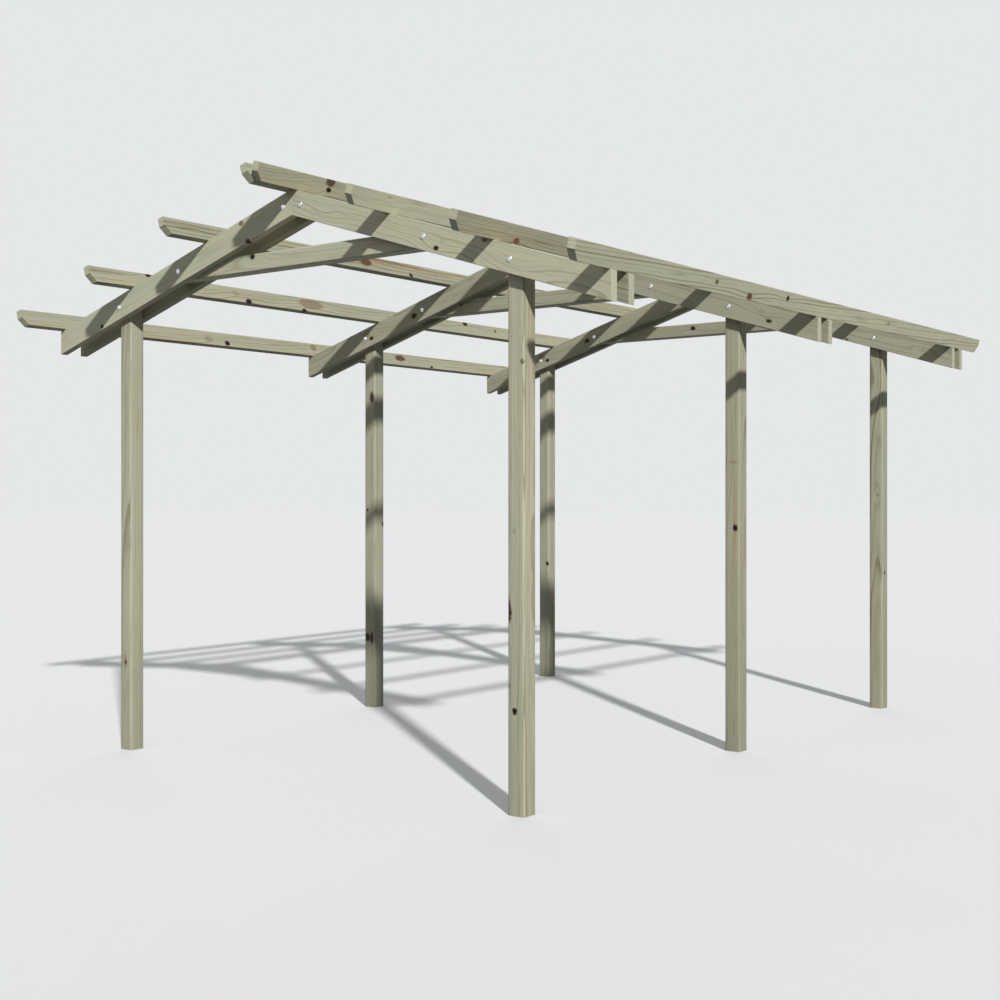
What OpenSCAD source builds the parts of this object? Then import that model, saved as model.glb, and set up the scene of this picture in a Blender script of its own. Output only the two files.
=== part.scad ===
// Open timber carport: three gable frames on six posts, carrying four purlins on each slope.
// Every frame clasps its posts, its collar tie and its ridge block between paired rafter boards.
// Origin on the ground below the middle of the ridge, +Z up, +Y along the ridge, front at -Y.
// All sizes are in millimetres.

/* [Layout] */
// Distance between the centre lines of the left and right posts
post_span = 2720; // [2200:5:3600]
// Distance from one gable frame to the next
bay_length = 2000; // [1200:10:2600]
// Height of the rafters' underside on the centre lines of the posts
eaves_height = 2396; // [1900:1:2800]
// Slope of the roof, in degrees
roof_pitch = 17.1; // [14:0.1:26]
// Level distance from the centre line of the posts out to the rafter ends
eaves_overhang = 532; // [200:1:800]
// Length of the purlins past the centre line of the front and rear frames
gable_overhang = 370; // [200:5:600]

/* [Posts] */
// Side of the square posts, which is also the space between paired rafter boards
post_side = 90; // [70:1:120]
// Radius of the eased edges on the posts, ties and ridge blocks
post_arris = 9; // [2:0.5:14]
// How far the post tops stay below the top edges of the rafters
post_top_drop = 8; // [2:1:30]

/* [Rafters] */
// Thickness of each rafter board
rafter_thickness = 45; // [30:1:60]
// Depth of the rafter boards, square to the slope
rafter_depth = 126; // [110:1:200]
// Radius of the eased edges on the rafters
rafter_arris = 3; // [1:0.5:6]

/* [Collar ties] */
// Height of the tie above the rafters' underside on the centre lines of the posts
tie_rise = 175; // [130:1:230]
// Depth of the tie
tie_depth = 90; // [70:1:120]
// Length of the tie's lower edge that runs on between the rafter boards
tie_lap = 170; // [110:5:260]
// How far the trimmed tie ends stay below the top edges of the rafters
tie_top_drop = 4; // [2:1:20]

/* [Ridge blocks] */
// Length of the block between the rafter boards at the ridge
block_length = 240; // [160:5:400]
// Height of the block at its peak
block_height = 90; // [60:1:100]
// How far the block's peak stays below the ridge of the rafters
block_top_drop = 20; // [5:1:40]

/* [Purlins] */
// Width of the purlins along the slope
purlin_width = 42; // [35:1:75]
// Height of the purlins, square to the slope
purlin_height = 90; // [65:1:140]
// Length of the slanted cut along the underside of each purlin end
purlin_end_cut = 38; // [10:1:55]
// Height of the slanted cut up each purlin end
purlin_cut_rise = 45; // [10:1:55]
// Radius of the eased edges on the purlins
purlin_arris = 3; // [1:0.5:6]
// Distance from the last purlin down the slope to the rafter ends
purlin_eaves_inset = 6; // [0:1:60]
// Level distance between the lower edges of the two ridge purlins
ridge_purlin_gap = 5; // [1:0.5:30]

/* [Hidden] */
$fn = 48;

post_colour = "#a9ae95";
rafter_colour = "#a5ab93";
tie_colour = "#b0b29a";
block_colour = "#9ba088";
purlin_colour = "#adb39a";

// Roof lines, measured at the ridge unless the name says otherwise
rise_per_run = tan(roof_pitch);
half_span = post_span / 2;
rafter_reach = half_span + eaves_overhang;
rafter_plumb_depth = rafter_depth / cos(roof_pitch);
rafter_slope_length = rafter_reach / cos(roof_pitch);
ridge_underside = eaves_height + half_span * rise_per_run;
ridge_top = ridge_underside + rafter_plumb_depth;

// Centre of a rafter board, to either side of its frame's centre line
board_offset = (post_side + rafter_thickness) / 2;

// The tie's underside enters the rafter pair where the rafters' underside crosses its height
tie_underside = eaves_height + tie_rise;
tie_half_length = half_span - tie_rise / rise_per_run + tie_lap;

block_underside = ridge_top - block_top_drop - block_height;

// Purlins stand at an even pitch down the slope, from the ridge to the eaves
purlin_length = 2 * (bay_length + gable_overhang);
purlin_steps = 3;
ridge_purlin_start = ridge_purlin_gap / 2 / cos(roof_pitch);
eaves_purlin_start = rafter_slope_length - purlin_eaves_inset - purlin_width;
purlin_pitch = (eaves_purlin_start - ridge_purlin_start) / purlin_steps;

function frame_y(frame) = bay_length * (frame == "front" ? -1 : frame == "rear" ? 1 : 0);
function board_y(board) = board_offset * (board == "fore" ? -1 : 1);
function course_step(course) =
    course == "ridge" ? 0 :
    course == "upper" ? 1 :
    course == "lower" ? 2 : purlin_steps;
function purlin_start(course) = ridge_purlin_start + course_step(course) * purlin_pitch;

// Mirrors a piece of the right slope onto the left one
module on_side(side) {
    mirror([side == "left" ? 1 : 0, 0, 0]) children();
}

// Frame on the right slope: +X down the slope, +Z square to it, origin on the ridge line
module down_slope(ridge_height) {
    translate([0, 0, ridge_height]) rotate([0, roof_pitch, 0]) children();
}

// Section of a planed timber with eased edges, standing on its lower left corner
module timber_section(width, height, arris) {
    translate([arris, 0]) square([width - 2 * arris, height]);
    translate([0, arris]) square([width, height - 2 * arris]);
    for (x = [arris, width - arris], y = [arris, height - arris])
        translate([x, y]) circle(r = arris);
}

// Timber that runs along +X, centred on Y, with its underside at Z = 0
module timber_along_x(length, width, height, arris) {
    translate([0, -width / 2, 0])
        rotate([90, 0, 90])
            linear_extrude(length) timber_section(width, height, arris);
}

// Timber that runs along Y, centred on Y, with its lower edge at X = 0 and Z = 0
module timber_along_y(length, width, height, arris) {
    rotate([90, 0, 0])
        linear_extrude(length, center = true) timber_section(width, height, arris);
}

// Everything that lies more than a given drop below the rafters' top edges, one timber deep
module under_roof(drop) {
    peak = ridge_top - drop;
    foot = peak - rafter_reach * rise_per_run;
    rotate([90, 0, 0])
        linear_extrude(2 * post_side, center = true)
            polygon([
                [-rafter_reach, 0], [rafter_reach, 0],
                [rafter_reach, foot], [0, peak], [-rafter_reach, foot]
            ]);
}

// Outline of a purlin from the side, with the lower corner of each end cut away
module purlin_outline() {
    half = purlin_length / 2;
    polygon([
        [-half, purlin_height], [-half, purlin_cut_rise], [-half + purlin_end_cut, 0],
        [half - purlin_end_cut, 0], [half, purlin_cut_rise], [half, purlin_height]
    ]);
}

// Post that stands on the ground, with its top cut to the slope between the rafter boards
module post(frame, side) {
    color(post_colour)
        translate([0, frame_y(frame), 0])
            on_side(side)
                intersection() {
                    translate([half_span - post_side / 2, -post_side / 2, 0])
                        linear_extrude(ridge_top) timber_section(post_side, post_side, post_arris);
                    under_roof(post_top_drop);
                }
}

// One board of a rafter pair, cut plumb at the ridge and at the eaves
module rafter(frame, side, board) {
    spare = rafter_depth;
    color(rafter_colour)
        translate([0, frame_y(frame) + board_y(board), 0])
            on_side(side)
                intersection() {
                    down_slope(ridge_underside)
                        translate([-spare, 0, 0])
                            timber_along_x(rafter_slope_length + 2 * spare,
                                rafter_thickness, rafter_depth, rafter_arris);
                    translate([0, -rafter_thickness, 0])
                        cube([rafter_reach, 2 * rafter_thickness, ridge_top + spare]);
                }
}

// Level tie between the rafter boards, with its ends trimmed to the slope
module collar_tie(frame) {
    color(tie_colour)
        translate([0, frame_y(frame), 0])
            intersection() {
                translate([-tie_half_length, 0, tie_underside])
                    timber_along_x(2 * tie_half_length, post_side, tie_depth, post_arris);
                under_roof(tie_top_drop);
            }
}

// Peaked block that the ridge bolts draw the rafter boards against
module ridge_block(frame) {
    color(block_colour)
        translate([0, frame_y(frame), 0])
            intersection() {
                translate([-block_length / 2, 0, block_underside])
                    timber_along_x(block_length, post_side, block_height, post_arris);
                under_roof(block_top_drop);
            }
}

// Purlin that rests on the rafters' top edges, square to the slope
module purlin(side, course) {
    color(purlin_colour)
        on_side(side)
            down_slope(ridge_top)
                translate([purlin_start(course), 0, 0])
                    intersection() {
                        timber_along_y(purlin_length, purlin_width, purlin_height, purlin_arris);
                        rotate([90, 0, 90])
                            linear_extrude(purlin_width) purlin_outline();
                    }
}

post("front", "left");  // post_front_left
post("front", "right");  // post_front_right
post("middle", "left");  // post_middle_left
post("middle", "right");  // post_middle_right
post("rear", "left");  // post_rear_left
post("rear", "right");  // post_rear_right

rafter("front", "left", "fore");  // rafter_front_left_fore
rafter("front", "left", "aft");  // rafter_front_left_aft
rafter("front", "right", "fore");  // rafter_front_right_fore
rafter("front", "right", "aft");  // rafter_front_right_aft
rafter("middle", "left", "fore");  // rafter_middle_left_fore
rafter("middle", "left", "aft");  // rafter_middle_left_aft
rafter("middle", "right", "fore");  // rafter_middle_right_fore
rafter("middle", "right", "aft");  // rafter_middle_right_aft
rafter("rear", "left", "fore");  // rafter_rear_left_fore
rafter("rear", "left", "aft");  // rafter_rear_left_aft
rafter("rear", "right", "fore");  // rafter_rear_right_fore
rafter("rear", "right", "aft");  // rafter_rear_right_aft

collar_tie("front");  // collar_tie_front
collar_tie("middle");  // collar_tie_middle
collar_tie("rear");  // collar_tie_rear

ridge_block("front");  // ridge_block_front
ridge_block("middle");  // ridge_block_middle
ridge_block("rear");  // ridge_block_rear

purlin("left", "ridge");  // purlin_left_ridge
purlin("left", "upper");  // purlin_left_upper
purlin("left", "lower");  // purlin_left_lower
purlin("left", "eaves");  // purlin_left_eaves
purlin("right", "ridge");  // purlin_right_ridge
purlin("right", "upper");  // purlin_right_upper
purlin("right", "lower");  // purlin_right_lower
purlin("right", "eaves");  // purlin_right_eaves
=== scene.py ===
"""Open timber carport: planed boards with grain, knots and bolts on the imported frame.

Metres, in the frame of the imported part: +Z up, +Y along the ridge, front at -Y.
"""

import math
import random
from collections import namedtuple

import bmesh
import bpy
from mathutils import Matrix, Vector


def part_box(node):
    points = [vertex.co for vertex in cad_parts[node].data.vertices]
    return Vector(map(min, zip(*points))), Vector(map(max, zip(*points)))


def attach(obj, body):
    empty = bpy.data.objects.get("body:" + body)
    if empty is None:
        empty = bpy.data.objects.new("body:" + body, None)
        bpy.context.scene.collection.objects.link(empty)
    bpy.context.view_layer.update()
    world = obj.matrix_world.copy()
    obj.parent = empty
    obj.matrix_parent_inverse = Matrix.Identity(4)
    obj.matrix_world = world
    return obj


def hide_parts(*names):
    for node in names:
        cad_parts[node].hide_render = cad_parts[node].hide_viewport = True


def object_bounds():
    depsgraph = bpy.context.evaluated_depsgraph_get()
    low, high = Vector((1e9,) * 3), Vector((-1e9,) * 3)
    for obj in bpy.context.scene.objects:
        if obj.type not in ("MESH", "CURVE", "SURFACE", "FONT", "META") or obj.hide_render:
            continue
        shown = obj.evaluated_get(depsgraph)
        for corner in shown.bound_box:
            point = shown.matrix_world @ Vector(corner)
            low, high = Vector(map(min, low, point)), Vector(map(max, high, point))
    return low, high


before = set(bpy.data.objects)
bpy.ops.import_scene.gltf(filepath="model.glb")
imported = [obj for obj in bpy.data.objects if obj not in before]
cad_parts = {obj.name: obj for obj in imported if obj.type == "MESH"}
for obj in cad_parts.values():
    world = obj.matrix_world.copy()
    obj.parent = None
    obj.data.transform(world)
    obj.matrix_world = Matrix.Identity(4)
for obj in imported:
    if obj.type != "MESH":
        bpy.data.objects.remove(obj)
cad_low, cad_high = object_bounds()

# Layout of the frame
ROOF_PITCH = math.radians(17.1)
SIDES = {"left": -1, "right": 1}
FRAMES = ("front", "middle", "rear")
COURSES = ("ridge", "upper", "lower", "eaves")

# Finish of the timbers
MERGE_DISTANCE = 0.00002
FLAT_ANGLE = math.radians(0.2)
SAWN_EDGE_ANGLE = math.radians(35)
SAWN_EDGE_EASE = 0.0014
SAWN_EDGE_STEPS = 2
SMOOTH_ANGLE = math.radians(32)
# Painted shade: posts are drawn darker towards the foot, by up to this share, fading out at this height
FOOT_PAINTED_SHADE = 0.13
FOOT_PAINTED_SHADE_HEIGHT = 1.4
POST_ROUNDING = 4.0
POST_ROUNDING_WIDTH = 0.022
GRAIN_RELIEF = 0.35
GRAIN_DEPTH = 0.0012
WOOD_SHEEN = 0.2
SAWN_END_FACING = (0.35, 0.6)

# How fine each mark in the wood is: waves per metre along the grain, then across it both ways
WANDER_GRAIN = (0.9, 5.0, 5.0)
RIPPLE_GRAIN = (5.0, 28.0, 28.0)
STREAK_GRAIN = (0.7, 18.0, 18.0)
WARM_GRAIN = (0.8, 55.0, 55.0)
STROKE_GRAIN = (4.0, 150.0, 150.0)
FIBRE_GRAIN = (11.0, 420.0, 420.0)
BLOTCH_GRAIN = (3.0, 16.0, 16.0)
PORE_GRAIN = (90.0, 700.0, 700.0)
KNOT_EDGE_GRAIN = (70.0, 95.0, 95.0)

# Ranges that chance draws from, for timbers and faces that the photograph leaves open
SEED_RANGE = (0, 40)
HEART_DEPTH = (0.060, 0.110)
HEART_ASIDE = (0.0, 0.060)
RING_WIDTH = (0.0080, 0.0120)
HEART_LEAN_ACROSS = (-0.014, 0.014)
HEART_LEAN_THROUGH = (-0.018, 0.018)
LIGHTNESS_SPREAD = (0.97, 1.03)
WARMTH_RANGE = (0.2, 0.5)
GRAIN_RANGE = (0.45, 0.70)
KNOT_ALONG = (0.05, 0.95)
KNOT_ASIDE = (-0.8, 0.8)
KNOT_RADIUS = (0.007, 0.014)
KNOT_REDNESS = (0.0, 0.3, 0.8)
KNOT_DEPTH = (0.6, 1.0)
CHANCE_KNOTS_SHOWN = 3
CHANCE_KNOTS_HIDDEN = 4
BRANCH_DEPTH_SHOWN = 0.9
BRANCH_DEPTH_HIDDEN = 0.7

# Coach bolts through the rafter pairs, and the screws that hold the purlins down
BOLT_REACH = {"ridge": 0.060, "tie": 0.860, "post": 1.360}
HEAD_DIAMETER = 0.0280
HEAD_HEIGHT = 0.0070
HEAD_SIDES = 40
DOME_PROFILE = ((1.0, 0.0), (1.0, 0.12), (0.96, 0.36), (0.85, 0.60),
                (0.66, 0.80), (0.40, 0.94), (0.15, 1.0))
WASHER_DIAMETER = 0.034
WASHER_THICKNESS = 0.0025
WASHER_SIDES = 40
SHANK_DIAMETER = 0.012
SHANK_SIDES = 24
NUT_ACROSS_FLATS = 0.019
NUT_HEIGHT = 0.010
NUT_SIDES = 6
NUT_CHAMFER_RADIUS = 0.88
NUT_CHAMFER_HEIGHT = 0.2
THREAD_PITCH = 0.0015
THREAD_TURNS = 5
THREAD_ROOT = 0.84
SCREW_DIAMETER = 0.013
SCREW_STAND = 0.0012
SCREW_SIDES = 24
SCREW_RIM = 0.86
SOCKET_MOUTH = 0.45
SOCKET_FLOOR = 0.25
SPANGLE_GRAIN = (260.0, 260.0, 260.0)
SPIN_SEED = 7

# Camera at the viewing angle of the photograph, whose frame is square
CAMERA_PLACE = (5.1329, -7.0799, 1.4280)
CAMERA_YAW = math.radians(37.29)
CAMERA_LENS = 51.205
CAMERA_SENSOR = 36.0
CAMERA_SHIFT = (-0.00466, -0.00631)
CAMERA_FAR = 300.0

# Studio light
KEY_FROM = Vector((0.682, -0.518, 0.5165))
KEY_STRENGTH = 3.6
KEY_ANGLE = math.radians(2.0)
FRONT_FROM = Vector((-0.25, -0.95, 0.20))
FRONT_STRENGTH = 0.38
FRONT_ANGLE = math.radians(100)
BACK_FROM = Vector((-0.55, 0.80, 0.25))
BACK_STRENGTH = 1.2
BACK_ANGLE = math.radians(60)
FILL_STRENGTH = 0.26
FILL_COLOUR = (0.93, 0.97, 1.0)
BACKDROP_COLOUR = (0.785, 0.800, 0.808)
FLOOR_COLOUR = (0.812, 0.816, 0.821)
FLOOR_BOUNCE = (0.11, 0.115, 0.12)
FLOOR_SIZE = 160.0
FLOOR_DROP = 0.0005


def paint(red, green, blue):
    """A display colour from 0 to 255 as the linear colour that a shader takes."""
    def linear(value):
        share = value / 255
        return share / 12.92 if share <= 0.04045 else ((share + 0.055) / 1.055) ** 2.4
    return (linear(red), linear(green), linear(blue), 1.0)


# Colours of pressure-treated pine and of its knots
SAGE = paint(178, 180, 157)
STRAW = paint(187, 184, 158)
ROSE_STREAK = paint(186, 162, 126)
LATEWOOD = paint(114, 102, 70)
DARK_FIBRE = paint(104, 98, 74)
KNOT_RIM = paint(120, 90, 62)
KNOT_BLACK = paint(14, 11, 8)
KNOT_RED = paint(70, 44, 34)
KNOT_FLAME = paint(150, 104, 76)
# Painted highlight for the long edges, not a colour of the wood itself
PAINTED_EDGE_HIGHLIGHT = paint(200, 200, 176)
SAWN_END = paint(196, 197, 170)
ZINC_BRIGHT = paint(226, 228, 230)
ZINC_DULL = paint(186, 190, 194)


# Short calls for building node trees

class Nodes:
    """Builds one node tree: a socket given as a value is linked, anything else is set."""

    def __init__(self, tree):
        self.tree = tree

    def feed(self, socket, value):
        if isinstance(value, bpy.types.NodeSocket):
            self.tree.links.new(value, socket)
        elif value is not None:
            socket.default_value = value

    def add(self, kind, *values, **settings):
        node = self.tree.nodes.new(kind)
        for name, value in settings.items():
            setattr(node, name, value)
        for socket, value in zip(node.inputs, values):
            self.feed(socket, value)
        return node

    def named(self, node, **values):
        for name, value in values.items():
            self.feed(node.inputs[name.replace("_", " ")], value)
        return node

    def math(self, operation, *values, clamp=False):
        return self.add("ShaderNodeMath", *values, operation=operation, use_clamp=clamp).outputs[0]

    def vector(self, operation, *values):
        node = self.add("ShaderNodeVectorMath", *values, operation=operation)
        plain_number = operation in ("LENGTH", "DOT_PRODUCT")
        return node.outputs["Value" if plain_number else "Vector"]

    def scaled(self, vector, share):
        node = self.add("ShaderNodeVectorMath", vector, operation="SCALE")
        self.feed(node.inputs["Scale"], share)
        return node.outputs["Vector"]

    def smooth(self, value, low, high):
        node = self.add("ShaderNodeMapRange", value, low, high, interpolation_type="SMOOTHSTEP")
        return node.outputs[0]

    def mix(self, share, first, second, blend="MIX"):
        """Mixes two colours; on a mix node, sockets 6 and 7 take them and socket 2 gives the mix."""
        node = self.tree.nodes.new("ShaderNodeMix")
        node.data_type = "RGBA"
        node.blend_type = blend
        for socket, value in zip((node.inputs[0], node.inputs[6], node.inputs[7]), (share, first, second)):
            self.feed(socket, value)
        return node.outputs[2]

    def noise(self, place, stretch, seed=None, detail=2.0, output="Fac"):
        spread = self.vector("MULTIPLY", place, stretch)
        if seed is not None:
            spread = self.vector("ADD", spread, seed)
        node = self.tree.nodes.new("ShaderNodeTexNoise")
        self.named(node, Vector=spread, Scale=1.0, Detail=detail)
        return node.outputs[output]


SOCKETS = {float: "NodeSocketFloat", tuple: "NodeSocketVector", str: "NodeSocketColor"}


def start_group(name, inputs, outputs):
    """A shader node group with named sockets; a float, a tuple or a str stands for its socket's kind."""
    tree = bpy.data.node_groups.new(name, "ShaderNodeTree")
    for way, sockets in (("INPUT", inputs), ("OUTPUT", outputs)):
        for socket_name, kind in sockets.items():
            tree.interface.new_socket(name=socket_name, in_out=way, socket_type=SOCKETS[kind])
    enter = tree.nodes.new("NodeGroupInput")
    leave = tree.nodes.new("NodeGroupOutput")
    return Nodes(tree), enter.outputs, leave.inputs


def place_group(nodes, group, **values):
    """One use of a shader node group, with its own values."""
    node = nodes.tree.nodes.new("ShaderNodeGroup")
    node.node_tree = group
    return nodes.named(node, **values).outputs


# Shared effects of the timber

def branch_knot_group():
    """One branch that tapers inwards from a face: its core, its bark and how it turns the grain."""
    lean_along_trunk = 0.3
    thinnest_share = 0.02
    core_edge = 0.80
    bark_width = 0.0045
    rings_in_core = 3.0
    grain_stretch = (0.22, 1.0, 1.0)
    grain_falloff = -0.22
    sums = {"Core": float, "Rim": float, "Swell": float, "Red": float, "Ring": float}
    nodes, given, out = start_group(
        "branch_knot",
        {"Place": tuple, "Wobble": float, "Centre": tuple, "Inwards": tuple, "Radius": float,
         "Reach": float, "Redness": float, "Depth": float, "Bark": float, "Slimness": float, **sums},
        sums)
    offset = nodes.vector("SUBTRACT", given["Place"], given["Centre"])
    deep = nodes.vector("DOT_PRODUCT", offset, given["Inwards"])
    flat = nodes.vector("SUBTRACT", offset, nodes.scaled(given["Inwards"], deep))
    slide = nodes.add("ShaderNodeCombineXYZ", nodes.math("MULTIPLY", deep, lean_along_trunk)).outputs[0]
    flat = nodes.vector("SUBTRACT", flat, slide)
    taper = nodes.math("SUBTRACT", 1.0, nodes.math("DIVIDE", deep, given["Reach"]))
    girth = nodes.math("MULTIPLY", given["Radius"], nodes.math("MAXIMUM", taper, thinnest_share))
    slim = nodes.add("ShaderNodeCombineXYZ", given["Slimness"], 1.0, 1.0).outputs[0]
    oval = nodes.vector("LENGTH", nodes.vector("MULTIPLY", flat, slim))
    near = nodes.math("ADD", nodes.math("DIVIDE", oval, girth), given["Wobble"])
    core = nodes.math("SUBTRACT", 1.0, nodes.smooth(near, core_edge, 1.0))
    core = nodes.math("MULTIPLY", core, given["Depth"])
    from_bark = nodes.math("ABSOLUTE", nodes.math("SUBTRACT", near, 1.0))
    from_bark = nodes.math("MULTIPLY", from_bark, girth)
    rim = nodes.math("SUBTRACT", 1.0, nodes.smooth(from_bark, 0.0, bark_width))
    rim = nodes.math("MULTIPLY", rim, given["Bark"])
    ring = nodes.math("FRACT", nodes.math("MULTIPLY", near, rings_in_core))
    ring = nodes.math("MULTIPLY", ring, core)
    red = nodes.math("MULTIPLY", core, given["Redness"])
    long_oval = nodes.vector("LENGTH", nodes.vector("MULTIPLY", flat, grain_stretch))
    far = nodes.math("DIVIDE", long_oval, girth)
    falling = nodes.math("MULTIPLY", nodes.math("MULTIPLY", far, far), grain_falloff)
    bulge = nodes.math("MULTIPLY", nodes.math("EXPONENT", falling), girth)
    nodes.feed(out["Core"], nodes.math("MAXIMUM", given["Core"], core))
    nodes.feed(out["Rim"], nodes.math("MAXIMUM", given["Rim"], rim))
    nodes.feed(out["Swell"], nodes.math("ADD", given["Swell"], bulge))
    nodes.feed(out["Red"], nodes.math("MAXIMUM", given["Red"], red))
    nodes.feed(out["Ring"], nodes.math("MAXIMUM", given["Ring"], ring))
    return nodes.tree


def year_rings_group():
    """Year rings round a heart line that leans and wanders: arches on flat faces, arcs on ends."""
    wander_reach = 0.034
    ripple_reach = 0.005
    middle = (0.5, 0.5, 0.5)
    only_across = (0.0, 1.0, 1.0)
    knot_push = 1.1
    late_start = 0.50
    late_end = 0.93
    faintest_ring = 0.15
    nodes, given, out = start_group(
        "year_rings",
        {"Place": tuple, "Seed": tuple, "Heart": tuple, "Lean": tuple, "Ring Width": float, "Swell": float},
        {"Late": float})
    wander = nodes.noise(given["Place"], WANDER_GRAIN, given["Seed"], output="Color")
    wander = nodes.scaled(nodes.vector("SUBTRACT", wander, middle), wander_reach)
    ripple = nodes.noise(given["Place"], RIPPLE_GRAIN, given["Seed"], output="Color")
    ripple = nodes.scaled(nodes.vector("SUBTRACT", ripple, middle), ripple_reach)
    along = nodes.add("ShaderNodeSeparateXYZ", given["Place"]).outputs[0]
    heart = nodes.vector("ADD", given["Heart"], nodes.scaled(given["Lean"], along))
    spot = nodes.vector("SUBTRACT", given["Place"], heart)
    spot = nodes.vector("ADD", nodes.vector("ADD", spot, wander), ripple)
    spot = nodes.vector("MULTIPLY", spot, only_across)
    pushed = nodes.math("MULTIPLY", given["Swell"], knot_push)
    from_heart = nodes.math("ADD", nodes.vector("LENGTH", spot), pushed)
    year = nodes.math("DIVIDE", from_heart, given["Ring Width"])
    season = nodes.math("FRACT", year)
    dark = nodes.smooth(season, late_start, late_end)
    dark = nodes.math("SUBTRACT", dark, nodes.smooth(season, late_end, 1.0), clamp=True)
    whole_year = nodes.math("FLOOR", year)
    luck = nodes.add("ShaderNodeTexWhiteNoise", None, whole_year, noise_dimensions="1D").outputs["Value"]
    luck = nodes.math("MULTIPLY", luck, luck)
    strength = nodes.math("MULTIPLY_ADD", luck, 1.0 - faintest_ring, faintest_ring)
    nodes.feed(out["Late"], nodes.math("MULTIPLY", dark, strength))
    return nodes.tree


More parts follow.
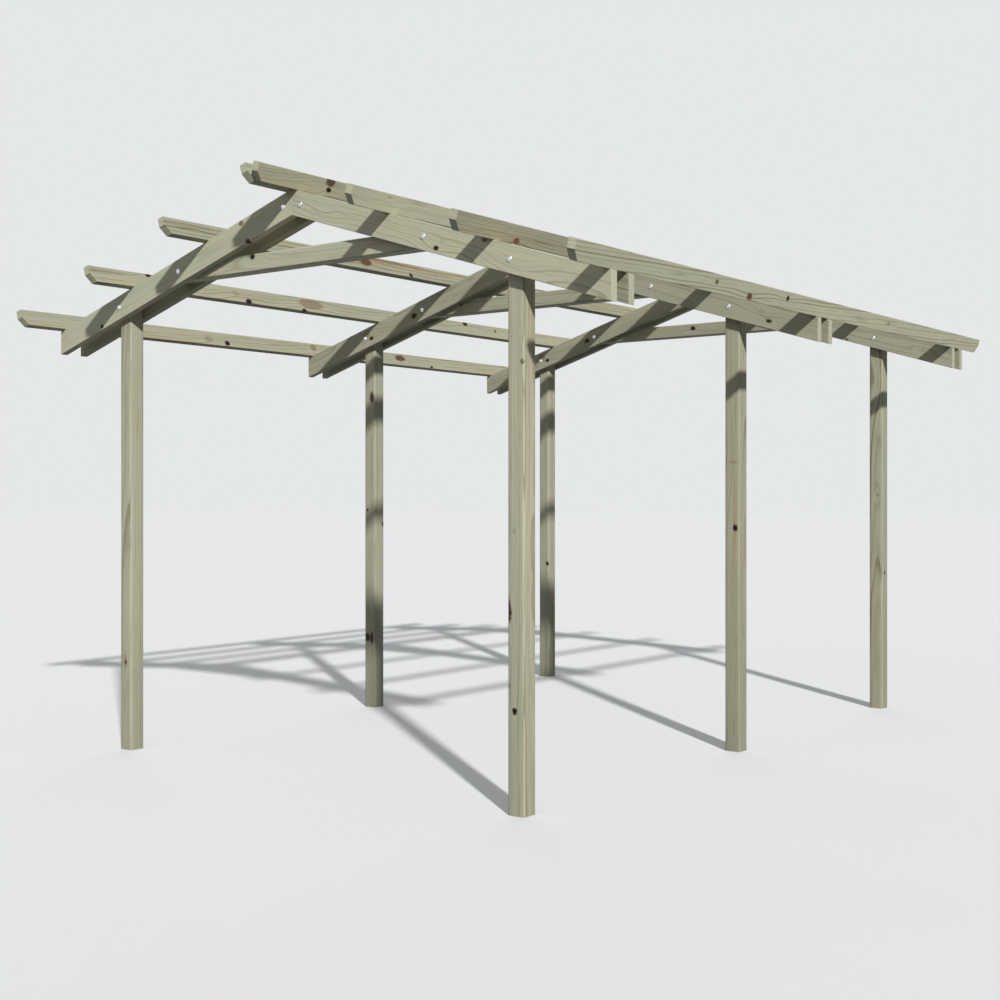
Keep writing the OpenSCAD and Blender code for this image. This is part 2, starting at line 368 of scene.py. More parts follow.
def pine_finish_group():
    """Colour, roughness and relief of planed, pressure-treated pine, with painted shade towards a post's
    foot and a painted highlight along the long edges.
    """
    nodes, given, out = start_group(
        "pine_finish",
        {"Place": tuple, "Seed": tuple, "Half": tuple, "Late": float, "Core": float, "Rim": float,
         "Red": float, "Ring": float, "End": float, "Warmth": float, "Shade": float, "Grain": float,
         "Foot": float, "Rounding": float},
        {"Colour": str, "Roughness": float, "Relief": float})
    place = given["Place"]
    seed = given["Seed"]

    # Marks, each with the limits between which it fades in
    plain_detail = 1.0
    rich_detail = 3.0
    streak_limits = (0.36, 0.66)
    warm_limits = (0.48, 0.72)
    stroke_limits = (0.60, 0.76)
    pore_limits = (0.62, 0.75)
    warm_seed = nodes.scaled(seed, 1.7)
    streak = nodes.smooth(nodes.noise(place, STREAK_GRAIN, seed, rich_detail), *streak_limits)
    warm = nodes.smooth(nodes.noise(place, WARM_GRAIN, warm_seed, rich_detail), *warm_limits)
    stroke_base = nodes.noise(place, STROKE_GRAIN, seed, plain_detail)
    stroke = nodes.smooth(stroke_base, *stroke_limits)
    fibre = nodes.noise(place, FIBRE_GRAIN, seed, plain_detail)
    blotch = nodes.noise(place, BLOTCH_GRAIN, seed, rich_detail)
    pores = nodes.smooth(nodes.noise(place, PORE_GRAIN, seed, plain_detail), *pore_limits)

    # Lengthwise colour
    stroke_share = 0.40
    fibre_share = 0.18
    blotch_share = 0.14
    darkest_tone = 0.84
    wood = nodes.mix(streak, SAGE, STRAW)
    wood = nodes.mix(nodes.math("MULTIPLY", warm, given["Warmth"]), wood, ROSE_STREAK)
    wood = nodes.mix(nodes.math("MULTIPLY", given["Late"], given["Grain"]), wood, LATEWOOD)
    wood = nodes.mix(nodes.math("MULTIPLY", stroke, stroke_share), wood, DARK_FIBRE)
    tone = nodes.math("MULTIPLY_ADD", fibre, fibre_share, darkest_tone)
    tone = nodes.math("ADD", tone, nodes.math("MULTIPLY", blotch, blotch_share))
    # Painted shade: a post's colour darkens towards its foot
    along = nodes.add("ShaderNodeSeparateXYZ", place).outputs[0]
    near_foot = nodes.math("SUBTRACT", 1.0, nodes.smooth(along, 0.0, FOOT_PAINTED_SHADE_HEIGHT))
    painted_foot_shade = nodes.math("SUBTRACT", 1.0, nodes.math("MULTIPLY", near_foot, given["Foot"]))
    tone = nodes.math("MULTIPLY", nodes.math("MULTIPLY", tone, given["Shade"]), painted_foot_shade)
    toned = nodes.add("ShaderNodeCombineColor", tone, tone, tone).outputs[0]
    wood = nodes.mix(1.0, wood, toned, "MULTIPLY")

    # Painted highlight along the long edges, in patches
    highlight_share = 0.12
    highlight_limits = (0.001, 0.008)
    highlight_patch_limits = (0.30, 0.62)
    margins = nodes.vector("SUBTRACT", given["Half"], nodes.vector("ABSOLUTE", place))
    inset = nodes.add("ShaderNodeSeparateXYZ", margins).outputs
    from_edge = nodes.math("MAXIMUM", inset[1], inset[2])
    edge = nodes.math("SUBTRACT", 1.0, nodes.smooth(from_edge, *highlight_limits))
    edge = nodes.math("MULTIPLY", edge, nodes.smooth(blotch, *highlight_patch_limits))
    wood = nodes.mix(nodes.math("MULTIPLY", edge, highlight_share), wood, PAINTED_EDGE_HIGHLIGHT)

    # Sawn ends
    end_ring_share = 0.5
    sawn_share = 0.7
    sawn = nodes.mix(nodes.math("MULTIPLY", given["Late"], end_ring_share), SAWN_END, LATEWOOD)
    sawn = nodes.mix(pores, sawn, DARK_FIBRE)
    wood = nodes.mix(nodes.math("MULTIPLY", given["End"], sawn_share), wood, sawn)

    # Knots, black or red, within their bark
    rim_share = 0.75
    ring_share = 0.4
    least_core = 0.001
    flame_limits = (0.28, 0.54)
    wood = nodes.mix(nodes.math("MULTIPLY", given["Rim"], rim_share), wood, KNOT_RIM)
    strokes = nodes.math("MULTIPLY", stroke_base, 1.0 - ring_share)
    streaky = nodes.math("MULTIPLY_ADD", given["Ring"], ring_share, strokes)
    flame = nodes.mix(nodes.smooth(streaky, *flame_limits), KNOT_RED, KNOT_FLAME)
    some_core = nodes.math("MAXIMUM", given["Core"], least_core)
    red_share = nodes.math("DIVIDE", given["Red"], some_core, clamp=True)
    heart = nodes.mix(red_share, KNOT_BLACK, flame)
    nodes.feed(out["Colour"], nodes.mix(given["Core"], wood, heart))

    # Roughness and relief
    smoothest = 0.58
    fibre_roughness = 0.16
    end_roughness = 0.12
    knot_polish = 0.15
    rough = nodes.math("MULTIPLY_ADD", fibre, fibre_roughness, smoothest)
    rough = nodes.math("ADD", rough, nodes.math("MULTIPLY", given["End"], end_roughness))
    rough = nodes.math("SUBTRACT", rough, nodes.math("MULTIPLY", given["Core"], knot_polish))
    nodes.feed(out["Roughness"], rough)
    late_height = 0.5
    fibre_height = 0.5
    stroke_depth = 0.6
    knot_height = 0.5
    relief = nodes.math("MULTIPLY", fibre, fibre_height)
    relief = nodes.math("MULTIPLY_ADD", given["Late"], late_height, relief)
    relief = nodes.math("SUBTRACT", relief, nodes.math("MULTIPLY", stroke, stroke_depth))
    relief = nodes.math("ADD", relief, nodes.math("MULTIPLY", given["Core"], knot_height))
    worn = nodes.smooth(from_edge, 0.0, POST_ROUNDING_WIDTH)
    worn = nodes.math("MULTIPLY", worn, given["Rounding"])
    nodes.feed(out["Relief"], nodes.math("ADD", relief, worn))
    return nodes.tree


BRANCH_KNOT = branch_knot_group()
YEAR_RINGS = year_rings_group()
PINE_FINISH = pine_finish_group()


# Timbers

Lay = namedtuple("Lay", "along across through start length half")
Knot = namedtuple("Knot", "along offset face radius redness depth slimness bark",
                  defaults=(0.0, 1.0, 0.75, 0.0))
Tone = namedtuple("Tone", "shade warmth grain")
Rings = namedtuple("Rings", "width across through lean_across lean_through")

# How light, how warm and how strongly lined each timber is; the rest take their frame's lightness
TONES = {
    "post_front_left": Tone(0.95, 0.45, 0.85), "post_front_right": Tone(0.97, 0.45, 0.60),
    "post_middle_right": Tone(0.80, 0.45, 0.65), "post_rear_right": Tone(0.84, 0.35, 0.90),
    "rafter_front_left_fore": Tone(1.06, 0.10, 0.30), "rafter_front_right_fore": Tone(1.06, 0.20, 0.62),
    "rafter_front_right_aft": Tone(0.74, 0.40, 0.80), "rafter_rear_right_fore": Tone(0.83, 0.25, 0.60),
    "rafter_middle_right_fore": Tone(0.78, 0.25, 0.60), "rafter_middle_left_fore": Tone(0.76, 0.30, 0.60),
    "rafter_rear_left_fore": Tone(0.73, 0.30, 0.60), "collar_tie_middle": Tone(0.81, 0.30, 0.75),
    "collar_tie_front": Tone(1.02, 0.15, 0.50), "collar_tie_rear": Tone(0.73, 0.30, 0.75),
    "purlin_right_ridge": Tone(0.90, 0.45, 1.00), "purlin_right_upper": Tone(1.10, 0.45, 0.25),
    "purlin_right_lower": Tone(0.80, 0.55, 1.00), "purlin_right_eaves": Tone(1.08, 0.10, 1.00),
    "purlin_left_upper": Tone(0.74, 0.90, 1.00), "purlin_left_lower": Tone(0.80, 0.65, 1.00),
    "purlin_left_eaves": Tone(0.80, 0.65, 0.90),
}
FRAME_LIGHTNESS = {"front": 1.0, "middle": 0.84, "rear": 0.84}
PURLIN_LIGHTNESS = 0.86
AFT_LIGHTNESS = 0.88

# Year rings of the timbers whose lines show: ring width, then where the heart lies and how it leans
RINGS = {
    "rafter_front_right_fore": Rings(0.0070, -0.080, 0.060, 0.012, 0.022),
    "purlin_right_ridge": Rings(0.0075, 0.030, 0.120, 0.0, 0.050),
    "purlin_right_lower": Rings(0.0105, 0.020, 0.150, 0.0, 0.006),
    "purlin_right_eaves": Rings(0.0190, 0.030, -0.130, 0.0, 0.042),
    "purlin_left_upper": Rings(0.0240, -0.030, 0.160, 0.0, 0.014),
    "purlin_left_lower": Rings(0.0120, -0.030, 0.140, 0.0, 0.030),
    "purlin_left_eaves": Rings(0.0120, -0.030, 0.150, 0.0, 0.020),
    "post_front_left": Rings(0.0100, 0.010, 0.080, 0.010, 0.012),
    "post_rear_right": Rings(0.0100, 0.010, 0.080, 0.010, 0.012),
}

# Knots that show, by timber: distance from its foot, ridge, left or front end, then offset on that face.
# A depth of nought only bends the grain round the spot, and a small slimness draws a knot out to a streak.
KNOTS = {
    "post_front_right": [
        Knot(2.012, 0.035, "front", 0.008, 0.7, 0.85), Knot(1.263, -0.009, "front", 0.009, 1.0, 0.20),
        Knot(0.903, -0.046, "front", 0.023, 0.15, 1.0, 0.40), Knot(0.464, -0.005, "front", 0.013),
    ],
    "post_middle_right": [
        Knot(1.605, 0.008, "front", 0.024, 1.0, 0.28, 2.8), Knot(1.239, 0.020, "front", 0.014),
    ],
    "post_rear_left": [Knot(0.882, 0.031, "front", 0.013)],
    "post_rear_right": [
        Knot(0.902, -0.004, "side", 0.010), Knot(2.180, -0.004, "front", 0.020, 1.0, 0.0),
        Knot(1.420, 0.012, "front", 0.008, 1.0, 0.45),
    ],
    "post_front_left": [Knot(0.489, 0.002, "front", 0.009, 0.4, 0.9)],
    "post_middle_left": [
        Knot(0.465, -0.018, "front", 0.021), Knot(0.463, 0.018, "front", 0.013, 0.0, 1.0, 0.35),
        Knot(2.073, 0.019, "front", 0.018, 0.1, 0.95, 0.5), Knot(1.320, -0.020, "front", 0.007),
        Knot(1.226, 0.037, "side", 0.012, 0.0, 1.0),
    ],
    "rafter_front_right_fore": [
        Knot(1.011, -0.0375, "front", 0.011), Knot(1.278, 0.055, "front", 0.012, 0.4, 0.85),
        Knot(1.040, 0.002, "front", 0.012, 1.0, 0.12), Knot(0.820, 0.030, "front", 0.012, 1.0, 0.0),
        Knot(1.480, -0.012, "front", 0.024, 1.0, 0.0, 0.75), Knot(0.240, -0.010, "front", 0.014, 1.0, 0.0),
    ],
    "rafter_front_left_fore": [
        Knot(0.391, 0.047, "front", 0.012, 0.5, 0.8), Knot(0.372, -0.062, "front", 0.012),
        Knot(1.615, -0.045, "front", 0.010),
    ],
    "rafter_middle_left_fore": [
        Knot(0.995, -0.011, "front", 0.017), Knot(1.388, -0.017, "front", 0.013),
        Knot(1.425, 0.020, "front", 0.022, 1.0, 0.42),
    ],
    "rafter_rear_left_fore": [
        Knot(0.989, -0.004, "front", 0.017), Knot(1.380, -0.017, "front", 0.013),
        Knot(1.420, 0.015, "front", 0.022, 1.0, 0.42),
    ],
    "rafter_middle_right_fore": [
        Knot(1.708, -0.022, "front", 0.009, 0.1, 1.0, 0.5), Knot(1.650, 0.018, "front", 0.014, 1.0, 0.15),
    ],
    "rafter_rear_right_fore": [
        Knot(1.264, -0.052, "front", 0.009, 0.8, 0.9), Knot(1.800, 0.010, "front", 0.012, 1.0, 0.15),
    ],
    "collar_tie_front": [Knot(0.630, 0.031, "front", 0.013), Knot(0.512, 0.006, "front", 0.020, 1.0, 0.15)],
    "collar_tie_rear": [Knot(0.930, 0.012, "front", 0.015)],
    "collar_tie_middle": [Knot(0.384, 0.018, "front", 0.009, 0.0, 0.8)],
    "purlin_right_ridge": [
        Knot(0.489, 0.033, "side", 0.024, 0.35, 0.95), Knot(0.487, -0.009, "side", 0.013),
    ],
    "purlin_right_upper": [Knot(0.254, 0.026, "side", 0.005, 1.0, 0.35), Knot(3.300, 0.015, "side", 0.011)],
    "purlin_right_lower": [
        Knot(0.441, -0.028, "side", 0.013, 0.55, 0.95, 0.6), Knot(2.950, 0.012, "side", 0.012),
    ],
    "purlin_right_eaves": [
        Knot(1.168, 0.0075, "side", 0.010, 0.3, 0.9), Knot(1.509, -0.024, "side", 0.019, 0.35, 0.95),
        Knot(1.905, 0.010, "side", 0.012), Knot(3.212, 0.004, "side", 0.008, 0.4, 0.6),
    ],
    "purlin_left_upper": [
        Knot(1.495, 0.004, "side", 0.026, 0.40, 0.95, 0.50), Knot(1.898, -0.031, "side", 0.012),
        Knot(3.050, 0.016, "side", 0.014, 0.7, 0.8), Knot(1.760, 0.028, "side", 0.009, 1.0, 0.35, 0.035),
        Knot(0.150, 0.018, "side", 0.009, 1.0, 0.32, 0.05),
        Knot(0.210, -0.006, "side", 0.006, 1.0, 0.28, 0.04),
    ],
    "purlin_left_lower": [
        Knot(1.660, 0.006, "side", 0.030, 1.0, 0.55, 0.32, 1.0), Knot(1.589, -0.044, "side", 0.015),
        Knot(1.128, -0.035, "side", 0.017), Knot(1.036, 0.004, "side", 0.018, 1.0, 0.20),
        Knot(3.209, 0.036, "side", 0.020), Knot(3.552, 0.010, "side", 0.010, 0.5, 0.9),
        Knot(0.395, 0.038, "side", 0.013), Knot(0.110, 0.020, "side", 0.008, 1.0, 0.30, 0.07),
    ],
    "purlin_left_eaves": [
        Knot(1.510, -0.024, "side", 0.016), Knot(1.359, -0.006, "side", 0.013, 1.0, 0.35, 0.45, 0.6),
        Knot(2.297, 0.014, "side", 0.020, 1.0, 0.55, 0.75, 0.9),
        Knot(3.198, 0.010, "side", 0.024, 0.4, 0.95, 0.45), Knot(3.545, -0.034, "side", 0.010),
    ],
}


def slope_axes(side):
    """Down the slope and square to it, on one side of the ridge."""
    down = Vector((side * math.cos(ROOF_PITCH), 0, -math.sin(ROOF_PITCH)))
    square = Vector((side * math.sin(ROOF_PITCH), 0, math.cos(ROOF_PITCH)))
    return down, square


def timber_lay(node):
    """How a timber lies: its own directions, where it starts, its length and half of its section."""
    x, y, z = Vector((1, 0, 0)), Vector((0, 1, 0)), Vector((0, 0, 1))
    words = node.split("_")
    down, square = slope_axes(SIDES["left" if "left" in words else "right"])
    axes_of_kind = {"post": (z, x, y), "rafter": (down, square, y), "collar": (x, z, y),
                    "ridge": (x, z, y), "purlin": (y, down, square)}
    axes = axes_of_kind[words[0]]
    corners = [vertex.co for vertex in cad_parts[node].data.vertices]
    reaches = [[corner.dot(axis) for corner in corners] for axis in axes]
    spans = [(min(reach), max(reach)) for reach in reaches]
    middle = [(low + high) / 2 for low, high in spans]
    start = (spans[0][0], middle[1], middle[2])
    half = [(high - low) / 2 for low, high in spans]
    return Lay(*axes, start, 2 * half[0], (half[1], half[2]))


def scattered_knots(lay, dice, faces, count):
    """A few knots by chance, on faces whose own knots don't show in the photograph."""
    knots = []
    for _ in range(count):
        face = dice.choice(faces)
        half = lay.half[0] if face in ("front", "back") else lay.half[1]
        knots.append(Knot(dice.uniform(*KNOT_ALONG) * lay.length, dice.uniform(*KNOT_ASIDE) * half, face,
                          dice.uniform(*KNOT_RADIUS), dice.choice(KNOT_REDNESS), dice.uniform(*KNOT_DEPTH)))
    return knots


def knot_seat(knot, lay, side):
    """Where a knot comes out of its face, the way into the timber and how far in its branch begins."""
    if knot.face in ("front", "back"):
        way = -1 if knot.face == "front" else 1
        seat = (knot.along, knot.offset, way * lay.half[1])
        inwards = (0.0, 0.0, -way)
        thick = 2 * lay.half[1]
    else:
        way = side if knot.face == "side" else -side
        seat = (knot.along, way * lay.half[0], knot.offset)
        inwards = (0.0, -way, 0.0)
        thick = 2 * lay.half[0]
    shown = knot.face in ("front", "side")
    return seat, inwards, thick * (BRANCH_DEPTH_SHOWN if shown else BRANCH_DEPTH_HIDDEN)


def pine_material(node, lay):
    """Treated pine for one timber, with its own heart line, year rings and knots."""
    dice = random.Random(node)
    material = bpy.data.materials.new("treated_pine_" + node)
    material.use_nodes = True
    nodes = Nodes(material.node_tree)
    shader = nodes.tree.nodes["Principled BSDF"]
    place = nodes.add("ShaderNodeAttribute", attribute_name="board").outputs["Vector"]
    seed = tuple(dice.uniform(*SEED_RANGE) for _ in range(3))
    flip = (dice.choice((-1, 1)), dice.choice((-1, 1)))
    deep = dice.uniform(*HEART_DEPTH)
    aside = dice.uniform(*HEART_ASIDE)
    reach = (aside, deep) if lay.half[0] > lay.half[1] else (deep, aside)
    rings = RINGS.get(node) or Rings(dice.uniform(*RING_WIDTH), flip[0] * reach[0], flip[1] * reach[1],
                                     dice.uniform(*HEART_LEAN_ACROSS), dice.uniform(*HEART_LEAN_THROUGH))
    words = node.split("_")
    lightness = next((FRAME_LIGHTNESS[word] for word in words if word in FRAME_LIGHTNESS), PURLIN_LIGHTNESS)
    lightness *= dice.uniform(*LIGHTNESS_SPREAD) * (AFT_LIGHTNESS if "aft" in words else 1.0)
    tone = TONES.get(node) or Tone(lightness, dice.uniform(*WARMTH_RANGE), dice.uniform(*GRAIN_RANGE))

    wobble = nodes.math("SUBTRACT", nodes.noise(place, KNOT_EDGE_GRAIN, seed), 0.5)
    sums = {"Core": 0.0, "Rim": 0.0, "Swell": 0.0, "Red": 0.0, "Ring": 0.0}
    knots = KNOTS.get(node) or scattered_knots(lay, dice, ("front", "side"), CHANCE_KNOTS_SHOWN)
    shown_side = -1 if node.startswith("purlin_left") else 1
    hidden_faces = ("back",) if words[0] in ("rafter", "collar") else ("back", "far")
    for knot in knots + scattered_knots(lay, dice, hidden_faces, CHANCE_KNOTS_HIDDEN):
        seat, inwards, reach_in = knot_seat(knot, lay, shown_side)
        made = place_group(nodes, BRANCH_KNOT, Place=place, Wobble=wobble, Centre=seat, Inwards=inwards,
                           Radius=knot.radius, Reach=reach_in, Redness=knot.redness, Depth=knot.depth,
                           Bark=max(knot.bark, knot.depth), Slimness=knot.slimness, **sums)
        sums = {name: made[name] for name in sums}

    late = place_group(nodes, YEAR_RINGS, Place=place, Seed=seed, Heart=(0.0, rings.across, rings.through),
                       Lean=(0.0, rings.lean_across, rings.lean_through), Ring_Width=rings.width,
                       Swell=sums["Swell"])["Late"]
    facing = nodes.add("ShaderNodeNewGeometry").outputs["True Normal"]
    endwise = nodes.math("ABSOLUTE", nodes.vector("DOT_PRODUCT", facing, tuple(lay.along)))
    end = nodes.smooth(endwise, *SAWN_END_FACING)
    # Posts also take painted shade towards their foot
    pine = place_group(nodes, PINE_FINISH, Place=place, Seed=seed, Half=(0.0, *lay.half), Late=late,
                       Core=sums["Core"], Rim=sums["Rim"], Red=sums["Red"], Ring=sums["Ring"], End=end,
                       Warmth=tone.warmth, Shade=tone.shade, Grain=tone.grain,
                       Foot=FOOT_PAINTED_SHADE if words[0] == "post" else 0.0,
                       Rounding=POST_ROUNDING if words[0] == "post" else 0.0)
    bump = nodes.tree.nodes.new("ShaderNodeBump")
    nodes.named(bump, Strength=GRAIN_RELIEF, Distance=GRAIN_DEPTH, Height=pine["Relief"])
    nodes.named(shader, Base_Color=pine["Colour"], Roughness=pine["Roughness"], Normal=bump.outputs[0],
                Specular_IOR_Level=WOOD_SHEEN)
    return material


def dress_timber(node):
    """A timber as a merged copy of its solid, with eased saw cuts and its grain laid along it."""
    lay = timber_lay(node)
    solid = bmesh.new()
    solid.from_mesh(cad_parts[node].data)
    bmesh.ops.remove_doubles(solid, verts=solid.verts, dist=MERGE_DISTANCE)
    bmesh.ops.dissolve_limit(solid, angle_limit=FLAT_ANGLE, verts=solid.verts, edges=solid.edges)
    cuts = [edge for edge in solid.edges
            if edge.is_manifold and edge.calc_face_angle() > SAWN_EDGE_ANGLE]
    bmesh.ops.bevel(solid, geom=cuts, offset=SAWN_EDGE_EASE, offset_type="OFFSET", segments=SAWN_EDGE_STEPS,
                    profile=0.5, affect="EDGES", clamp_overlap=True)
    mesh = bpy.data.meshes.new(node + "_timber")
    solid.to_mesh(mesh)
    solid.free()
    mesh.shade_smooth()
    mesh.set_sharp_from_angle(angle=SMOOTH_ANGLE)
    board = mesh.attributes.new("board", "FLOAT_VECTOR", "POINT")
    for vertex, spot in zip(mesh.vertices, board.data):
        spot.vector = [vertex.co.dot(axis) - start for axis, start in zip(lay[:3], lay.start)]
    mesh.materials.append(pine_material(node, lay))

    timber = bpy.data.objects.new(node + "_timber", mesh)
    bpy.context.scene.collection.objects.link(timber)
    even = timber.modifiers.new("even_faces", "WEIGHTED_NORMAL")
    even.keep_sharp = True
    evened = bpy.data.meshes.new_from_object(timber.evaluated_get(bpy.context.evaluated_depsgraph_get()))
    timber.modifiers.clear()
    timber.data = evened
    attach(timber, "root")
    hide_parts(node)


# Fasteners

def zinc_material():
    """Zinc-plated steel with a fine spangle."""
    smoothest = 0.22
    spangle_roughness = 0.25
    material = bpy.data.materials.new("zinc_plate")
    material.use_nodes = True
    nodes = Nodes(material.node_tree)
    shader = nodes.tree.nodes["Principled BSDF"]
    place = nodes.add("ShaderNodeTexCoord").outputs["Object"]
    spangle = nodes.noise(place, SPANGLE_GRAIN, detail=3.0)
    nodes.named(shader, Base_Color=nodes.mix(spangle, ZINC_DULL, ZINC_BRIGHT), Metallic=1.0,
                Roughness=nodes.math("MULTIPLY_ADD", spangle, spangle_roughness, smoothest))
    return material


class ShapeTree(Nodes):
    """A Geometry Nodes tree with named sizes, which puts one shape on every point of a mesh."""

    def __init__(self, name, sizes):
        super().__init__(bpy.data.node_groups.new(name, "GeometryNodeTree"))
        face = self.tree.interface
        face.new_socket(name="Points", in_out="INPUT", socket_type="NodeSocketGeometry")
        self.sockets = {size: face.new_socket(name=size, in_out="INPUT", socket_type="NodeSocketFloat")
                        for size in sizes}
        face.new_socket(name="Geometry", in_out="OUTPUT", socket_type="NodeSocketGeometry")
        self.given = self.tree.nodes.new("NodeGroupInput").outputs
        self.out = self.tree.nodes.new("NodeGroupOutput").inputs[0]

    def band(self, sides, foot, top):
        """The open wall between two rings, each given by its radius and height."""
        foot_radius, low = foot
        top_radius, high = top
        node = self.add("GeometryNodeMeshCone", fill_type="NONE")
        self.named(node, Vertices=sides, Radius_Top=top_radius, Radius_Bottom=foot_radius,
                   Depth=self.math("SUBTRACT", high, low))
        return self.moved(node.outputs["Mesh"], low)

    def lid(self, sides, radius, height, up=True):
        """A flat face that closes a ring."""
        node = self.add("GeometryNodeMeshCircle", fill_type="NGON")
        self.named(node, Vertices=sides, Radius=radius)
        face = node.outputs["Mesh"] if up else self.flipped(node.outputs["Mesh"])
        return self.moved(face, height)

    def flipped(self, shape):
        return self.add("GeometryNodeFlipFaces", shape).outputs[0]

    def merged(self, shapes):
        node = self.tree.nodes.new("GeometryNodeMergeByDistance")
        return self.named(node, Geometry=self.joined(shapes), Distance=MERGE_DISTANCE).outputs[0]

    def turning(self, sides, rings, smooth=False):
        """A closed piece turned about the bolt's axis, through rings from the lowest up."""
        walls = [self.band(sides, foot, top) for foot, top in zip(rings, rings[1:])]
        ends = [self.lid(sides, *rings[0], up=False), self.lid(sides, *rings[-1])]
        shaded = self.tree.nodes.new("GeometryNodeSetShadeSmooth")
        self.named(shaded, Geometry=self.merged(walls + ends), Shade_Smooth=smooth)
        return shaded.outputs[0]

    def moved(self, shape, lift):
        up = self.add("ShaderNodeCombineXYZ", 0.0, 0.0, lift).outputs[0]
        node = self.tree.nodes.new("GeometryNodeTransform")
        return self.named(node, Geometry=shape, Translation=up).outputs[0]

    def joined(self, shapes):
        node = self.tree.nodes.new("GeometryNodeJoinGeometry")
        for shape in shapes:
            self.feed(node.inputs[0], shape)
        return node.outputs[0]

    def on_points(self, shape, material):
        """Sets the shape on each point, outwards along its facing and turned by chance."""
        facing = self.add("GeometryNodeInputNamedAttribute", "facing", data_type="FLOAT_VECTOR").outputs[0]
        turned = self.tree.nodes.new("FunctionNodeAlignRotationToVector")
        turned.axis = "Z"
        self.named(turned, Vector=facing)
        put = self.tree.nodes.new("GeometryNodeInstanceOnPoints")
        self.named(put, Points=self.given["Points"], Instance=shape, Rotation=turned.outputs[0])
        chance = self.tree.nodes.new("FunctionNodeRandomValue")
        self.named(chance, Max=math.pi, Seed=SPIN_SEED)
        spin = self.add("ShaderNodeCombineXYZ", 0.0, 0.0, chance.outputs["Value"]).outputs[0]
        spun = self.tree.nodes.new("GeometryNodeRotateInstances")
        self.named(spun, Instances=put.outputs[0], Rotation=spin)
        real = self.add("GeometryNodeRealizeInstances", spun.outputs[0]).outputs[0]
        dressed = self.tree.nodes.new("GeometryNodeSetMaterial")
        dressed.inputs["Material"].default_value = material
        self.feed(dressed.inputs["Geometry"], real)
        self.feed(self.out, dressed.outputs[0])


def bolt_tree(material):
    """Coach bolt through a rafter pair: domed head in front, washer, nut and thread behind."""
    tree = ShapeTree("frame_bolt", ("Head Diameter", "Head Height", "Washer Diameter", "Washer Thickness",
                                    "Shank Diameter", "Grip", "Across Flats", "Nut Height", "Thread Pitch"))
    size = tree.given
    dome = tree.math("MULTIPLY", size["Head Diameter"], 0.5)
    disc = tree.math("MULTIPLY", size["Washer Diameter"], 0.5)
    shank = tree.math("MULTIPLY", size["Shank Diameter"], 0.5)
    corner = tree.math("MULTIPLY", size["Across Flats"], 1 / math.sqrt(3))
    root = tree.math("MULTIPLY", shank, THREAD_ROOT)
    behind = tree.math("SUBTRACT", 0.0, size["Grip"])
    back_washer = tree.math("SUBTRACT", behind, size["Washer Thickness"])
    nut_end = tree.math("SUBTRACT", back_washer, size["Nut Height"])
    nut_edge = tree.math("MULTIPLY_ADD", size["Nut Height"], NUT_CHAMFER_HEIGHT, nut_end)
    nut_face = tree.math("MULTIPLY", corner, NUT_CHAMFER_RADIUS)

    head = [(tree.math("MULTIPLY", dome, wide), tree.math("MULTIPLY", size["Head Height"], high))
            for wide, high in DOME_PROFILE]
    thread = []
    for turn in range(THREAD_TURNS, 0, -1):
        crest = tree.math("MULTIPLY_ADD", size["Thread Pitch"], -turn, nut_end)
        valley = tree.math("MULTIPLY_ADD", size["Thread Pitch"], 0.5 - turn, nut_end)
        thread += [(shank, crest), (root, valley)]
    tip = tree.math("MULTIPLY_ADD", size["Thread Pitch"], -0.5 - THREAD_TURNS, nut_end)
    shapes = [
        tree.turning(HEAD_SIDES, head, smooth=True),
        tree.turning(SHANK_SIDES, [(shank, back_washer), (shank, 0.0)]),
        tree.turning(WASHER_SIDES, [(disc, back_washer), (disc, behind)]),
        tree.turning(NUT_SIDES, [(nut_face, nut_end), (corner, nut_edge), (corner, back_washer)]),
        tree.turning(SHANK_SIDES, [(root, tip)] + thread + [(shank, nut_end)]),
    ]
    tree.on_points(tree.joined(shapes), material)
    return tree


def screw_tree(material):
    """Countersunk screw head with a socket in its top."""
    tree = ShapeTree("purlin_screw", ("Diameter", "Stand"))
    stand = tree.given["Stand"]
    radius = tree.math("MULTIPLY", tree.given["Diameter"], 0.5)
    rim = tree.math("MULTIPLY", radius, SCREW_RIM)
    mouth = tree.math("MULTIPLY", radius, SOCKET_MOUTH)
    floor = tree.math("MULTIPLY", stand, SOCKET_FLOOR)
    head = [
        tree.lid(SCREW_SIDES, radius, 0.0, up=False),
        tree.band(SCREW_SIDES, (radius, 0.0), (rim, stand)),
        tree.band(SCREW_SIDES, (rim, stand), (mouth, stand)),
        tree.flipped(tree.band(SCREW_SIDES, (mouth, floor), (mouth, stand))),
        tree.lid(SCREW_SIDES, mouth, floor),
    ]
    tree.on_points(tree.merged(head), material)
    return tree


def set_fasteners(name, tree, spots, sizes):
    """One plain mesh of fasteners, set on (place, facing) spots and riding on the frame."""
    points = bpy.data.meshes.new(name + "_points")
    points.from_pydata([place for place, _ in spots], [], [])
    facing = points.attributes.new("facing", "FLOAT_VECTOR", "POINT")
    for mark, (_, out) in zip(facing.data, spots):
        mark.vector = out
    source = bpy.data.objects.new(name + "_points", points)
    bpy.context.scene.collection.objects.link(source)
    modifier = source.modifiers.new(name, "NODES")
    modifier.node_group = tree.tree
    for size, value in sizes.items():
        modifier[tree.sockets[size].identifier] = value
    made = bpy.data.meshes.new_from_object(source.evaluated_get(bpy.context.evaluated_depsgraph_get()))
    bpy.data.objects.remove(source)
    made.name = name
    piece = bpy.data.objects.new(name, made)
    bpy.context.scene.collection.objects.link(piece)
    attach(piece, "root")


def bolt_spots():
    """Where bolts enter: on the front face of each fore board, half way up its depth."""
    spots = []
    for place_name in FRAMES:
        for side_name, side in SIDES.items():
            board = f"rafter_{place_name}_{side_name}_fore"
            lay = timber_lay(board)
            low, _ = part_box(board)
            middle = lay.across * lay.start[1]
            for reach in BOLT_REACH.values():
                run = (side * reach - middle.x) / lay.along.x
                spot = middle + lay.along * run
                spots.append(((side * reach, low.y, spot.z), (0, -1, 0)))
    return spots


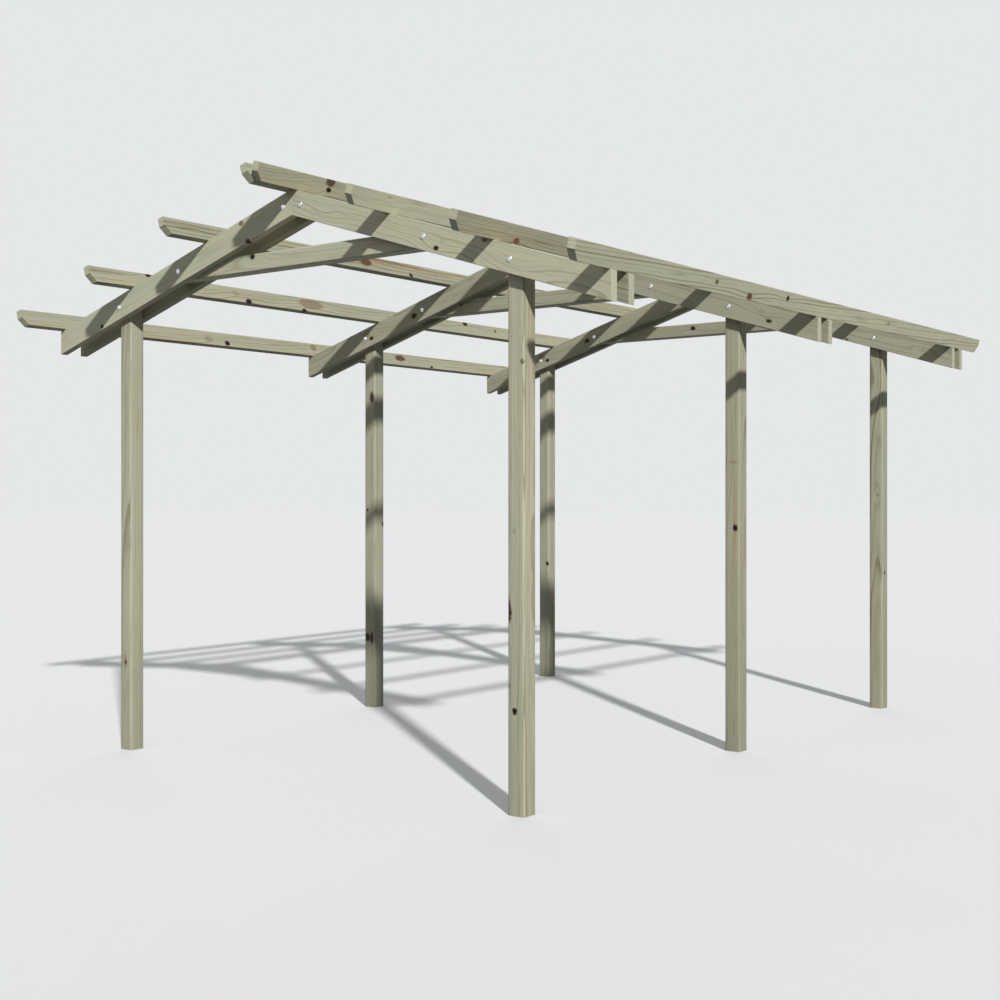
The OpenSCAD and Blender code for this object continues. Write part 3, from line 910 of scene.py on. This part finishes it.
def screw_spots():
    """Where screws go down: on each purlin's top, over the inner board of each frame."""
    boards = ("rafter_front_right_aft", "rafter_middle_right_fore", "rafter_rear_right_fore")
    spots = []
    for side_name in SIDES:
        for course in COURSES:
            lay = timber_lay(f"purlin_{side_name}_{course}")
            top = lay.across * lay.start[1] + lay.through * (lay.start[2] + lay.half[1])
            for board in boards:
                low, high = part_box(board)
                spots.append(((top.x, (low.y + high.y) / 2, top.z), lay.through))
    return spots


def fit_fasteners():
    """The bolts through all rafter pairs and the screws in all purlins."""
    zinc = zinc_material()
    fore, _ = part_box("rafter_front_left_fore")
    _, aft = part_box("rafter_front_left_aft")
    set_fasteners("frame_bolts", bolt_tree(zinc), bolt_spots(), {
        "Head Diameter": HEAD_DIAMETER, "Head Height": HEAD_HEIGHT,
        "Washer Diameter": WASHER_DIAMETER, "Washer Thickness": WASHER_THICKNESS,
        "Shank Diameter": SHANK_DIAMETER, "Grip": aft.y - fore.y,
        "Across Flats": NUT_ACROSS_FLATS, "Nut Height": NUT_HEIGHT, "Thread Pitch": THREAD_PITCH})
    set_fasteners("purlin_screws", screw_tree(zinc), screw_spots(),
                  {"Diameter": SCREW_DIAMETER, "Stand": SCREW_STAND})


# Studio

def seen_rays(nodes):
    """One for rays that show the studio itself, nought for those that carry its light to the frame."""
    path = nodes.tree.nodes.new("ShaderNodeLightPath").outputs
    seen = nodes.math("MAXIMUM", path["Is Camera Ray"], path["Is Glossy Ray"])
    return nodes.math("MAXIMUM", seen, path["Is Transmission Ray"])


def pale_floor():
    """A plain pale floor that keeps the frame's shadow."""
    mesh = bpy.data.meshes.new("floor")
    half = FLOOR_SIZE / 2
    level = cad_low.z - FLOOR_DROP
    corners = [(-half, -half, level), (half, -half, level), (half, half, level), (-half, half, level)]
    mesh.from_pydata(corners, [], [(0, 1, 2, 3)])
    material = bpy.data.materials.new("pale_floor")
    material.use_nodes = True
    nodes = Nodes(material.node_tree)
    colour = nodes.mix(seen_rays(nodes), (*FLOOR_BOUNCE, 1.0), (*FLOOR_COLOUR, 1.0))
    shader = nodes.tree.nodes["Principled BSDF"]
    nodes.named(shader, Base_Color=colour, Roughness=1.0, Specular_IOR_Level=0.0)
    mesh.materials.append(material)
    floor = bpy.data.objects.new("floor", mesh)
    bpy.context.scene.collection.objects.link(floor)


def studio_light():
    """A key from the front right, soft lamps in front and behind, an even fill and a pale backdrop."""
    lamps = (("key", KEY_FROM, KEY_STRENGTH, KEY_ANGLE),
             ("front", FRONT_FROM, FRONT_STRENGTH, FRONT_ANGLE),
             ("back", BACK_FROM, BACK_STRENGTH, BACK_ANGLE))
    for name, come_from, strength, spread in lamps:
        light = bpy.data.lights.new(name, "SUN")
        light.energy = strength
        light.angle = spread
        lamp = bpy.data.objects.new(name, light)
        lamp.rotation_euler = come_from.to_track_quat("Z", "Y").to_euler()
        bpy.context.scene.collection.objects.link(lamp)

    world = bpy.data.worlds.new("studio")
    world.use_nodes = True
    nodes = Nodes(world.node_tree)
    nodes.tree.nodes.clear()
    fill = nodes.add("ShaderNodeBackground", (*FILL_COLOUR, 1.0), FILL_STRENGTH).outputs[0]
    backdrop = nodes.add("ShaderNodeBackground", (*BACKDROP_COLOUR, 1.0), 1.0).outputs[0]
    mixed = nodes.add("ShaderNodeMixShader", seen_rays(nodes), fill, backdrop).outputs[0]
    nodes.add("ShaderNodeOutputWorld", mixed)
    bpy.context.scene.world = world


def photo_camera():
    """The level camera, shifted to frame the carport as the photograph does."""
    camera = bpy.data.cameras.new("camera")
    camera.lens = CAMERA_LENS
    camera.sensor_width = CAMERA_SENSOR
    camera.shift_x, camera.shift_y = CAMERA_SHIFT
    camera.clip_end = CAMERA_FAR
    view = bpy.data.objects.new("camera", camera)
    view.location = CAMERA_PLACE
    view.rotation_euler = (math.pi / 2, 0, CAMERA_YAW)
    bpy.context.scene.collection.objects.link(view)
    bpy.context.scene.camera = view


bpy.context.scene.view_settings.view_transform = "Standard"
photo_camera()
studio_light()
pale_floor()
for timber_node in sorted(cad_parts):
    dress_timber(timber_node)
fit_fasteners()
